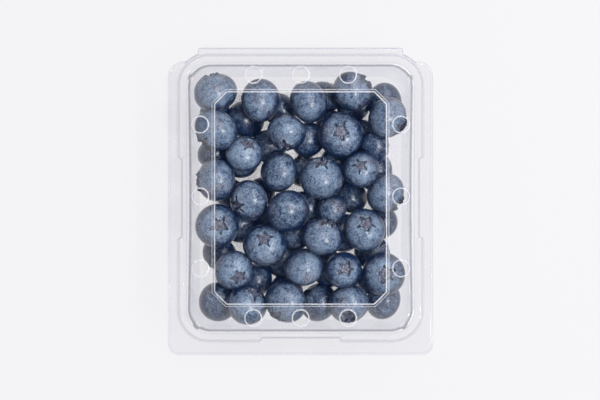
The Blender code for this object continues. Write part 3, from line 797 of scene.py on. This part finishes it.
# %% [markdown]
# ## A blueberry's shape
#
# A blueberry is a slightly flattened ball. At its flower end five lobes leave a star-shaped opening: a
# shallow greyish floor with a small scar in the middle, and five slits between the lobes that run out to
# points. At the other end is the small pit of the stem. Each berry is a grid of rings from crown to stem,
# close together at the crown, whose radius is worked out from the angle from the crown and the angle around
# it. No two are alike: lumps, flatness, size and shape of the star all come from seeded random numbers.

# %% Berry shape
FIRST_RING, LAST_RING = 0.02, 0.03   # angles of these rings from the crown and from the stem, in radians
CROWN_ZONE = 0.66            # the rings are close up to this angle from the crown
ARM_SIZES = (0.76, 1.12)     # the five arms of one star differ this much in length
ARM_SLIMNESS = (3.0, 13.0)   # and in how slim they are, from wide to a thin slit
STAR_TIP = (0.49, 0.56)      # angle from the crown of the star's tips, in radians
STAR_NOTCH = (0.23, 0.29)    # and of the notches between them
STAR_EDGE = (0.88, 1.06)     # the floor ends between these shares of the way out to the star's outline
SLIT_AT, SLIT_WIDE = 0.97, 0.08      # the painted shadow line along the outline, as a share of the same way
LOBE_AT, LOBE_WIDE = 1.25, 0.22      # and the raised lobes outside it
SCAR_RING, SCAR_WIDE, SCAR_DOT = 0.085, 0.022, 0.025    # the scar in the middle of the floor, in radians
DIP_WIDE, PIT_WIDE = 0.55, 0.13      # the dip round the crown and the pit of the stem, in radians
# Depths and heights, as a share of the berry's radius
CROWN_DEPTH, FLOOR_RELIEF, SCAR_RISE = 0.105, 0.012, 0.014
LOBE_RISE, STANDING_RISE = 0.025, 0.11
LUMPS, CROWN_DIP, STEM_PIT = 0.011, 0.035, 0.05
FLATTENED = (0.84, 0.90)     # height of a berry, crown to stem, as a share of its width
OVAL = (0.97, 1.03)


def smooth(edge_low, edge_high, value):
    """0 below one edge, 1 above the other, and a smooth rise between."""
    t = np.clip((value - edge_low) / (edge_high - edge_low), 0, 1)
    return t * t * (3 - 2 * t)


def bump(value, at, wide):
    """A smooth hump, 1 where the value is at its middle and fading out to both sides."""
    return np.exp(-((value - at) / wide) ** 2)


def wave(rng, times, angle):
    """A sine that repeats times over a full turn and starts anywhere."""
    return np.sin(times * angle + rng.uniform(0, 6))


def berry_shape(rng, rows_crown, rows_body, around, standing):
    """A berry of radius 1 with its crown up. Returns its points, faces and the marks that its skin needs.

    rows_crown, rows_body and around set how fine its grid is, and standing is how far the crown's lobes
    stand up, from 0 to 1."""
    fall = np.concatenate([np.linspace(FIRST_RING, CROWN_ZONE, rows_crown),
                           np.linspace(CROWN_ZONE, math.pi - LAST_RING, rows_body + 1)[1:]])
    theta, phi = np.meshgrid(fall, np.arange(around) / around * 2 * math.pi, indexing="ij")
    # The arms aren't quite evenly spaced
    twist = phi + 0.10 * wave(rng, 2, phi) + 0.05 * wave(rng, 3, phi)
    arm_sizes = np.array([rng.uniform(*ARM_SIZES) for _ in range(5)])
    arm_slimness = np.array([rng.uniform(*ARM_SLIMNESS) for _ in range(5)])
    arm_number = np.round(twist / (2 * math.pi / 5)).astype(int) % 5
    arm = np.abs(np.cos(2.5 * twist)) ** arm_slimness[arm_number]
    tip, notch = rng.uniform(*STAR_TIP), rng.uniform(*STAR_NOTCH)
    # The star's outline is a little rough
    rough_edge = 1 + 0.06 * wave(rng, 13, phi) + 0.05 * wave(rng, 8, phi)
    outline = (notch + (tip * arm_sizes[arm_number] - notch) * arm) * rough_edge
    across = theta / outline
    inside = 1 - smooth(*STAR_EDGE, across)
    lobe = bump(across, LOBE_AT, LOBE_WIDE) * (1 - arm) ** 1.5
    # The lobes are ragged where they wither
    ragged = 1 + 0.35 * wave(rng, 9, phi) * wave(rng, 4, phi)
    direction = np.stack([np.sin(theta) * np.cos(phi), np.sin(theta) * np.sin(phi), np.cos(theta)], -1)
    size = np.ones_like(theta)
    for _ in range(5):
        way = np.array([rng.gauss(0, 1) for _ in range(3)])
        way /= np.linalg.norm(way)
        size += LUMPS * np.sin(rng.uniform(1.6, 3.4) * direction @ way + rng.uniform(0, 6))
    size -= CROWN_DIP * bump(theta, 0, DIP_WIDE)
    floor_relief = np.sin(9 * theta / notch + 3 * np.sin(phi + 1)) * wave(rng, 5, phi)
    size -= (CROWN_DEPTH + FLOOR_RELIEF * floor_relief) * inside
    scar = bump(theta, SCAR_RING, SCAR_WIDE) + bump(theta, 0, SCAR_DOT)
    size += SCAR_RISE * scar
    size += (LOBE_RISE + STANDING_RISE * standing) * lobe * ragged
    size -= STEM_PIT * bump(theta, math.pi, PIT_WIDE)
    points = direction * size[..., None]
    points[..., 2] *= rng.uniform(*FLATTENED)
    points[..., 0] *= rng.uniform(*OVAL)
    rows = len(fall)
    flat = points.reshape(-1, 3)
    flat = np.concatenate([flat, [points[0].mean(0), points[-1].mean(0)]])
    top, bottom = rows * around, rows * around + 1
    faces = []
    for j in range(around):
        k = (j + 1) % around
        faces.append((top, j, k))
        faces.append((bottom, (rows - 1) * around + k, (rows - 1) * around + j))
        faces += [(i * around + j, (i + 1) * around + j, (i + 1) * around + k, i * around + k)
                  for i in range(rows - 1)]
    # Painted shade: the slits are dark from the notches outward, and so is part of the line along the outline,
    # where the lobes' edges would throw shadow; the scar in the middle is a little dark too
    far_out = smooth(notch * 0.95, notch * 1.45, theta)
    uneven = 0.55 + 0.45 * wave(rng, 2, phi)
    slit_shade_and_scar = np.clip(inside * far_out + 0.7 * uneven * bump(across, SLIT_AT, SLIT_WIDE), 0, 1)
    slit_shade_and_scar = np.maximum(slit_shade_and_scar, 0.35 * np.clip(scar, 0, 1))
    marks = {"from_crown": theta / math.pi, "crown_floor": inside, "crown_slit_shade_and_scar": slit_shade_and_scar, "crown_lobe": lobe}
    ends = {"from_crown": (0.0, 1.0), "crown_floor": (1.0, 0.0), "crown_slit_shade_and_scar": (0.0, 0.0),
            "crown_lobe": (0.0, 0.0)}
    return flat, faces, {name: np.concatenate([v.reshape(-1), ends[name]]) for name, v in marks.items()}


example = berry_shape(random.Random(1), rows_crown=28, rows_body=22, around=110, standing=0.3)
print("one berry has", len(example[1]), "faces")

# %% [markdown]
# ## Blueberry skin
#
# The skin is nearly black navy. Over it lies the bloom, a powdery wax that scatters light and turns it
# slate blue. It is thickest round the crown and where nothing has rubbed it, and worn off in patches and
# scratches by the other berries, most at the sides, where they touch. Low on each berry there is less of it,
# which is partly rubbing and partly painted shade, and the berries underneath have much less, which is
# painted shade. So the colour is a mix of bare skin and bloom by how much wax is left, worked out from noises
# of several sizes: patches of 5 mm, mottling of 1.5 mm, specks and scratches. Wax is matte, about 0.5 rough,
# and bare skin is glossier, about 0.35, so the same amount sets the roughness. A plant's skin and its wax both
# have an IOR of about 1.45, but powder traps part of what it would mirror, so the specular level is half the
# usual. A thin coat, smoother than the bloom, stands for the skin's own gloss between its grains and gives the
# small soft highlight. The floor of the crown is dry and grey, and its withered lobes are dark; its slits and
# the line along the star's outline have painted shade.

# %% Waxy blueberry skin
SKIN_MARKS = ("from_crown", "crown_floor", "crown_slit_shade_and_scar", "crown_lobe", "crown_standing", "height_on_berry",
              "berry_tone_and_shade")
PATCH_MM, PATCH_WEIGHT = 5.0, 3.6       # size of each noise and how much it says in the sum
MOTTLE_MM, MOTTLE_WEIGHT = 1.5, 3.9
SPECK_MM, SPECK_WEIGHT = 0.6, 3.3       # wax grains are finer and are drawn coarse enough to show
WAX_NONE, WAX_FULL = 4.52, 6.35         # the sum at which no wax is left, and at which it is whole
LOBE_WAX = 0.25
RING_FROM, RING_TO = 0.12, 0.36         # it thins out here, as shares of the way from crown to stem
RING_WAX = (0.36, -0.05)                # what this adds to the sum, at the crown and further out
RUBBED_AND_SHADED_FROM, RUBBED_AND_SHADED_TO = 0.10, 0.80     # less wax low on a berry, by rubbing and as painted shade, and whole above, in berry radii
RUBBED_AND_SHADED_WAX = (-1.30, 0.25)
SCRATCH_MM, SCRATCH_WIDE, SCRATCH_WAX = 2.6, 0.024, -0.8
SCRATCHED_PATCH = (0.42, 0.58)          # only some patches are scratched
BLUSH_MM, BLUSH_NOISE = 7.0, (0.53, 0.72)    # broad patches where the skin under the wax is more purple
CRUST_NOISE = (0.36, 0.62)              # dark and pale specks on the crown's dry floor
# how dark the painted shade in the slits and along the star's outline makes the skin
SLIT_SHADE = 0.85
BARE_ROUGH, WAX_ROUGH = 0.34, 0.48
GRAIN_STRENGTH, GRAIN_DEPTH = 0.5, 0.09 * MM


def blueberry_skin(name):
    """Navy skin under a bloom of wax, with a dry crown. It reads the marks that each berry's points carry."""
    material, tree, out = new_material(name)
    place = add_node(tree, "Attribute", attribute_name="skin_place").outputs["Vector"]
    mark = {each: add_node(tree, "Attribute", attribute_name=each).outputs["Fac"] for each in SKIN_MARKS}
    patches = add_node(tree, "TexNoise", {"Vector": place, "Scale": 1 / PATCH_MM, "Detail": 3.0,
                                          "Roughness": 0.6, "Distortion": 0.8})
    mottle = add_node(tree, "TexNoise", {"Vector": place, "Scale": 1 / MOTTLE_MM, "Detail": 5.0,
                                         "Roughness": 0.75, "Distortion": 0.9})
    specks = add_node(tree, "TexNoise", {"Vector": place, "Scale": 1 / SPECK_MM, "Detail": 2.0,
                                         "Roughness": 0.6})
    bent = add_node(tree, "TexNoise", {"Vector": place, "Scale": 1 / SCRATCH_MM, "Detail": 4.0,
                                       "Distortion": 2.2})
    line = add_node(tree, "Math", {0: bent.outputs[0], 1: 0.5}, operation="SUBTRACT")
    line = add_node(tree, "Math", {0: line.outputs[0]}, operation="ABSOLUTE")
    scratch = add_node(tree, "MapRange", {"Value": line.outputs[0], "From Min": 0.0, "From Max": SCRATCH_WIDE,
                                          "To Min": 1.0, "To Max": 0.0})
    where = add_node(tree, "MapRange", {"Value": patches.outputs[0],
                                        "From Min": SCRATCHED_PATCH[0], "From Max": SCRATCHED_PATCH[1]})
    scratched = add_node(tree, "Math", {0: scratch.outputs[0], 1: where.outputs[0]}, operation="MULTIPLY")
    ring_wax = add_node(tree, "MapRange", {"Value": mark["from_crown"],
                                           "From Min": RING_FROM, "From Max": RING_TO,
                                           "To Min": RING_WAX[0], "To Max": RING_WAX[1]},
                        interpolation_type="SMOOTHSTEP")
    # painted shade, with some rubbing: the bloom thins towards the lower part of each berry
    rubbed_and_shaded = add_node(tree, "MapRange", {"Value": mark["height_on_berry"],
                                         "From Min": RUBBED_AND_SHADED_FROM, "From Max": RUBBED_AND_SHADED_TO,
                                         "To Min": RUBBED_AND_SHADED_WAX[0], "To Max": RUBBED_AND_SHADED_WAX[1]},
                      interpolation_type="SMOOTHSTEP")
    wax = add_node(tree, "Math", {0: mark["crown_lobe"], 1: LOBE_WAX, 2: ring_wax.outputs[0]},
                   operation="MULTIPLY_ADD")
    wax = add_node(tree, "Math", {0: wax.outputs[0], 1: rubbed_and_shaded.outputs[0]}, operation="ADD")
    for noise, weight in ((patches, PATCH_WEIGHT), (mottle, MOTTLE_WEIGHT), (specks, SPECK_WEIGHT)):
        wax = add_node(tree, "Math", {0: noise.outputs[0], 1: weight, 2: wax.outputs[0]},
                       operation="MULTIPLY_ADD")
    # each berry's tone differs at random, and on the berries underneath it is much lower, as painted shade
    wax = add_node(tree, "Math", {0: wax.outputs[0], 1: mark["berry_tone_and_shade"]}, operation="ADD")
    wax = add_node(tree, "MapRange", {"Value": wax.outputs[0], "From Min": WAX_NONE, "From Max": WAX_FULL})
    wax = add_node(tree, "Math", {0: scratched.outputs[0], 1: SCRATCH_WAX, 2: wax.outputs[0]},
                   operation="MULTIPLY_ADD", use_clamp=True)
    blush = add_node(tree, "TexNoise", {"Vector": place, "Scale": 1 / BLUSH_MM, "Detail": 2.0,
                                        "Roughness": 0.5})
    blush = add_node(tree, "MapRange", {"Value": blush.outputs[0],
                                        "From Min": BLUSH_NOISE[0], "From Max": BLUSH_NOISE[1]})
    bare = add_node(tree, "MixRGB", {"Fac": blush.outputs[0], "Color1": hex_colour("0a2346"),
                                     "Color2": hex_colour("2b2f44")})
    bloom = add_node(tree, "MixRGB", {"Fac": blush.outputs[0], "Color1": hex_colour("8597ad"),
                                      "Color2": hex_colour("9095a6")})
    colour = add_node(tree, "MixRGB", {"Fac": wax.outputs[0], "Color1": bare.outputs[0],
                                       "Color2": bloom.outputs[0]})
    crust = add_node(tree, "MapRange", {"Value": mottle.outputs[0],
                                        "From Min": CRUST_NOISE[0], "From Max": CRUST_NOISE[1]})
    dry = add_node(tree, "MixRGB", {"Fac": crust.outputs[0], "Color1": hex_colour("282b3d"),
                                    "Color2": hex_colour("727182")})
    colour = add_node(tree, "MixRGB", {"Fac": mark["crown_floor"], "Color1": colour.outputs[0],
                                       "Color2": dry.outputs[0]})
    # painted shade in the crown's slits and along its outline, with the scar a little dark and the withered
    # lobes dark dry skin
    withered = add_node(tree, "Math", {0: mark["crown_lobe"], 1: mark["crown_standing"]},
                        operation="MULTIPLY", use_clamp=True)
    dark = add_node(tree, "Math", {0: mark["crown_slit_shade_and_scar"], 1: SLIT_SHADE, 2: withered.outputs[0]},
                    operation="MULTIPLY_ADD", use_clamp=True)
    colour = add_node(tree, "MixRGB", {"Fac": dark.outputs[0], "Color1": colour.outputs[0],
                                       "Color2": hex_colour("161b2c")})
    rough = add_node(tree, "MapRange", {"Value": wax.outputs[0], "To Min": BARE_ROUGH, "To Max": WAX_ROUGH})
    relief = add_node(tree, "Math", {0: mottle.outputs[0], 1: specks.outputs[0]}, operation="ADD")
    grain = add_node(tree, "Bump", {"Height": relief.outputs[0], "Strength": GRAIN_STRENGTH,
                                    "Distance": GRAIN_DEPTH})
    skin_shader = add_node(tree, "BsdfPrincipled", {
        "Base Color": colour.outputs[0], "Roughness": rough.outputs[0], "Normal": grain.outputs[0],
        "IOR": 1.45, "Specular IOR Level": 0.25, "Coat Weight": 0.60, "Coat Roughness": 0.28,
    })
    tree.links.new(skin_shader.outputs[0], out.inputs["Surface"])
    return material


berry_skin = blueberry_skin("blueberry_wax_bloom")
print("bloom patches", PATCH_MM, "mm, mottling", MOTTLE_MM, "mm")

# %% [markdown]
# ## The berries as pieces
#
# Sixty separate objects would be hard to handle, so berries of one kind are joined: those whose crown
# shows, with the finest grid, those that lie on their side, and those underneath, with a coarser one.

# %% Join the berries
LONGER_ON_SIDE = 0.075       # a berry on its side is drawn larger, to make up for its being flattened
TONE_SPREAD = 0.16           # berries differ this much in how much bloom they have
SHADED_TONE = -0.70          # painted shade: those underneath have most of it taken off, so they show darker
WITHERED = (1.3, -0.2)       # slope and start of how dark the lobes are against how far they stand up
SKIN_SHIFT_MM = 50.0         # each berry takes another place in the noises, up to this far away
BERRY_SEED, TURN_SEED = 1000, 7
SIDE_LEAN = 70               # a crown that leans at least this far, in degrees, counts as on its side
UNDER_STANDING = (0.2, 0.8)  # how far the lobes of those underneath stand up
# Rings round the crown, rings on the body and points around: finer where the crown shows
CROWN_UP_GRID, SIDE_GRID, UNDER_GRID = (28, 22, 110), (24, 24, 90), (16, 20, 50)
FLOOR_CLEAR, WALL_CLEAR = 0.05 * MM, 0.1 * MM    # what is pressed back keeps this far from floor and wall


def lay_berry(points, place, radius, lean, bearing, spin):
    """Turns a crown-up berry to the way its crown points and moves it to its place."""
    turn = (Matrix.Rotation(math.radians(bearing), 3, "Z") @ Matrix.Rotation(math.radians(lean), 3, "Y")
            @ Matrix.Rotation(spin, 3, "Z"))
    return (points * radius) @ np.array(turn).T + place


def keep_in_tray(points):
    """Presses what would reach past the tray's wall back to it, as a ripe berry flattens there."""
    x, y, z = points[:, 0], points[:, 1] - POCKET_Y, np.maximum(points[:, 2], SHEET + FLOOR_CLEAR)
    half_x = MOUTH_HALF_X - WALL_LEAN * (rim_z - z) - WALL_CLEAR
    half_x = half_x - WALL_BOW * np.maximum(0.0, 1.0 - (y / BOW_HALF_Y) ** 2)
    corner_x, corner_y = half_x - CORNER_RADIUS_LEAST, half_x + POCKET_LONGER - CORNER_RADIUS_LEAST
    past_x, past_y = np.maximum(np.abs(x) - corner_x, 0), np.maximum(np.abs(y) - corner_y, 0)
    back = np.minimum(1.0, CORNER_RADIUS_LEAST / np.maximum(np.hypot(past_x, past_y), 1e-9))
    x = np.sign(x) * (np.minimum(np.abs(x), corner_x) + past_x * back)
    y = np.sign(y) * (np.minimum(np.abs(y), corner_y) + past_y * back)
    return np.stack([x, y + POCKET_Y, z], -1)


def berries_piece(name, members, grid):
    """Joins berries into one mesh. members are (number, lean, bearing, standing)."""
    all_points, all_faces, all_marks, skin_place = [], [], [], []
    start = 0
    for number, lean, bearing, standing in members:
        rng = random.Random(BERRY_SEED + number)
        shape = berry_shape(rng, *grid, standing)
        radius = berry_radius[number] * (1 + LONGER_ON_SIDE * math.sin(math.radians(lean)))
        spin = rng.uniform(0, 2 * math.pi)
        if number in CROWN_ARMS:
            spin = math.radians(CROWN_ARMS[number] - bearing)
        points = lay_berry(shape[0], berry_place[number], radius, lean, bearing, spin)
        all_points.append(keep_in_tray(points))
        all_faces += [tuple(i + start for i in face) for face in shape[1]]
        # painted shade: the berries underneath get SHADED_TONE, much less bloom, so they show darker
        tone = rng.gauss(0, TONE_SPREAD) + (SHADED_TONE if number >= len(TOP_BERRIES) else 0.0)
        withered = max(0.0, WITHERED[0] * standing + WITHERED[1])
        height = (points[:, 2] - berry_place[number][2]) / radius
        all_marks.append({**shape[2], "berry_tone_and_shade": np.full(len(points), tone), "height_on_berry": height,
                          "crown_standing": np.full(len(points), withered)})
        shift = np.array([rng.uniform(-SKIN_SHIFT_MM, SKIN_SHIFT_MM) for _ in range(3)])
        skin_place.append(shape[0] * radius / MM + shift)
        start += len(points)
    mesh = bpy.data.meshes.new(name)
    mesh.from_pydata(np.concatenate(all_points).tolist(), [], all_faces)
    for mark in all_marks[0]:
        values = np.concatenate([marks[mark] for marks in all_marks]).astype(np.float32)
        mesh.attributes.new(mark, "FLOAT", "POINT").data.foreach_set("value", values)
    mesh.attributes.new("skin_place", "FLOAT_VECTOR", "POINT").data.foreach_set(
        "vector", np.concatenate(skin_place).astype(np.float32).reshape(-1))
    mesh.shade_smooth()
    mesh.materials.append(berry_skin)
    piece = add_object(name, mesh, "base")
    return piece


turner = random.Random(TURN_SEED)
tops = [(i, *berry[3:]) for i, berry in enumerate(TOP_BERRIES)]
under = []
for i in range(len(TOP_BERRIES), len(berry_radius)):
    lean = math.degrees(math.acos(turner.uniform(-1, 1)))
    under.append((i, lean, turner.uniform(0, 360), turner.uniform(*UNDER_STANDING)))
crowns_up = berries_piece("berries_crown_up", [b for b in tops if b[1] < SIDE_LEAN], CROWN_UP_GRID)
on_side = berries_piece("berries_on_their_side", [b for b in tops if b[1] >= SIDE_LEAN], SIDE_GRID)
underneath = berries_piece("berries_underneath", under, UNDER_GRID)
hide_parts("berries")
for piece in (crowns_up, on_side, underneath):
    piece.data.calc_loop_triangles()
    print(piece.name, len(piece.data.loop_triangles), "triangles")
